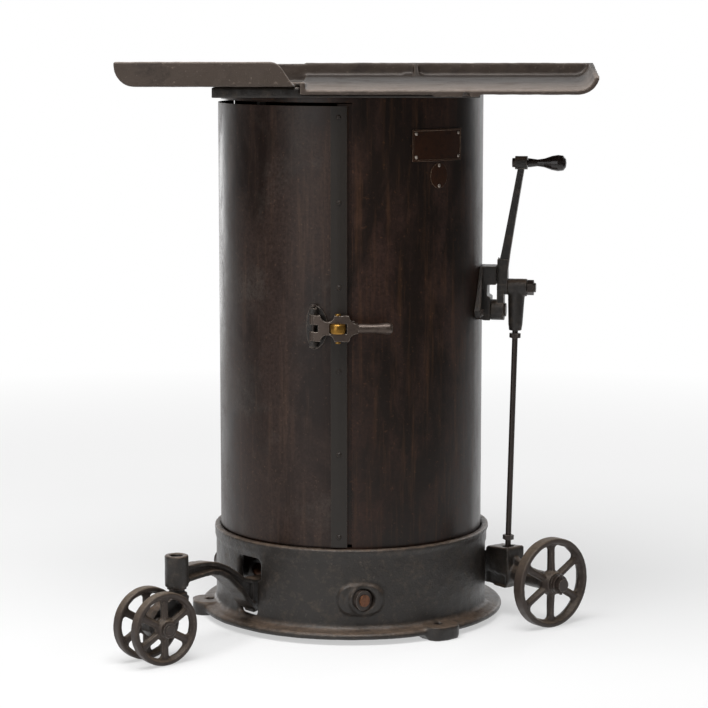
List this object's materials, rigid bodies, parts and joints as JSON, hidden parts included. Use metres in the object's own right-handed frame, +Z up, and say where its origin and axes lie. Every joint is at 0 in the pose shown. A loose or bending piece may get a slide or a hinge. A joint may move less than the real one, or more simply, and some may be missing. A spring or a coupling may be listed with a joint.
{
  "type": "pedestal",
  "caption": "Wheeled machine pedestal: round sheet-steel cabinet with a door, cast base, tray top, swivel caster and lever-lifted axle",
  "frame": {"origin": "on the floor under the axis of the round cabinet", "axes": "+Z is up, -Y is the front with the free edge of the door, +X is the side of the hand lever"},
  "size_m": [0.8315, 0.8484, 0.972],
  "materials": {
    "sheet": "blackened sheet steel with worn paint and rust",
    "cast": "bare grey casting, darkened",
    "steel": "worn turned steel",
    "brass": "worn brass",
    "plate": "darkened brass",
    "grip": "dark polished grip"
  },
  "bodies": {
    "cabinet": {"base_casting": "cast", "cabinet_shell": "sheet", "floor_plate": "sheet", "top_disc": "sheet", "door_jamb": "sheet", "saddle_plate": "cast", "tray_table": "cast", "table_bolts": "steel", "name_plate": "plate", "oval_plate": "plate", "plate_pins": "steel", "hinge_leaves_fixed": "sheet", "hinge_pins": "steel", "latch_keeper": "cast", "pivot_shaft": "steel", "pivot_nuts": "steel", "lever_bracket": "cast", "bracket_bolts": "steel", "lever_stud": "steel"},
    "door": {"door_skin": "sheet", "door_strap": "sheet", "door_bands": "sheet", "strap_rivets": "steel", "hinge_leaves_door": "sheet", "latch_plate": "cast", "latch_pin": "steel"},
    "latch": {"latch_lever": "steel", "roller_pin": "brass"},
    "roller": {"latch_roller": "brass"},
    "hand_lever": {"hand_lever": "cast", "crank_pin": "steel", "crank_nut": "steel", "grip_spindle": "steel"},
    "grip": {"lever_grip": "grip"},
    "lift_rod": {"rod_head": "cast", "lift_rod": "steel", "rod_nuts": "steel"},
    "truck": {"front_arm": "cast", "arm_bolts": "steel", "axle_frame": "cast", "rear_axle": "steel", "axle_washers": "steel", "axle_cotters": "steel"},
    "rear_wheel_right": {"wheel_right": "cast"},
    "rear_wheel_left": {"wheel_left": "cast"},
    "caster": {"caster_fork": "cast", "caster_spindle": "steel", "caster_axle": "steel", "caster_collars": "steel"},
    "caster_wheel_a": {"caster_wheel_outer": "cast"},
    "caster_wheel_b": {"caster_wheel_inner": "cast"}
  },
  "joints": [
    {"name": "door_hinge", "type": "hinge", "parent": "cabinet", "child": "door", "pos_m": [-0.21489, 0.1002, 0.53], "axis": [0, 0, -1], "range_deg": [0, 110]},
    {"name": "latch_hinge", "type": "hinge", "parent": "door", "child": "latch", "pos_m": [-0.0635, -0.23145, 0.5335], "axis": [0, 0, -1], "range_deg": [0, 75]},
    {"name": "roller_spin", "type": "hinge", "parent": "latch", "child": "roller", "pos_m": [-0.0224, -0.24672, 0.5335], "axis": [0, 0, 1], "continuous": true},
    {"name": "lever_pivot", "type": "hinge", "parent": "cabinet", "child": "hand_lever", "pos_m": [0.25629, -0.04379, 0.541], "axis": [0.9857, -0.1684, 0], "range_deg": [0, 60]},
    {"name": "grip_spin", "type": "hinge", "parent": "hand_lever", "child": "grip", "pos_m": [0.33514, -0.05726, 0.796], "axis": [0.9857, -0.1684, 0], "continuous": true},
    {"name": "rod_hinge", "type": "hinge", "parent": "hand_lever", "child": "lift_rod", "pos_m": [0.28783, -0.04918, 0.5805], "axis": [0.9857, -0.1684, 0], "range_deg": [-56.5, 0.5]},
    {"name": "truck_pivot", "type": "hinge", "parent": "cabinet", "child": "truck", "pos_m": [-0.10722, -0.08528, 0.073], "axis": [-0.6225, 0.7826, 0], "range_deg": [0, 3.6]},
    {"name": "wheel_right_spin", "type": "hinge", "parent": "truck", "child": "rear_wheel_right", "pos_m": [0.34349, -0.13304, 0.078], "axis": [0.6225, -0.7826, 0], "continuous": true},
    {"name": "wheel_left_spin", "type": "hinge", "parent": "truck", "child": "rear_wheel_left", "pos_m": [-0.05236, 0.36462, 0.078], "axis": [0.6225, -0.7826, 0], "continuous": true},
    {"name": "caster_swivel", "type": "hinge", "parent": "truck", "child": "caster", "pos_m": [-0.28636, -0.33716, 0.14], "axis": [0, 0, 1], "continuous": true},
    {"name": "caster_wheel_a_spin", "type": "hinge", "parent": "caster", "child": "caster_wheel_a", "pos_m": [-0.30383, -0.38428, 0.0605], "axis": [0.6225, -0.7826, 0], "continuous": true},
    {"name": "caster_wheel_b_spin", "type": "hinge", "parent": "caster", "child": "caster_wheel_b", "pos_m": [-0.3362, -0.34358, 0.0605], "axis": [0.6225, -0.7826, 0], "continuous": true}
  ],
  "couplings": [
    {"joint": "truck_pivot", "follows": "lever_pivot", "ratio": 0.05843},
    {"joint": "rod_hinge", "follows": "lever_pivot", "ratio": -0.9306}
  ]
}
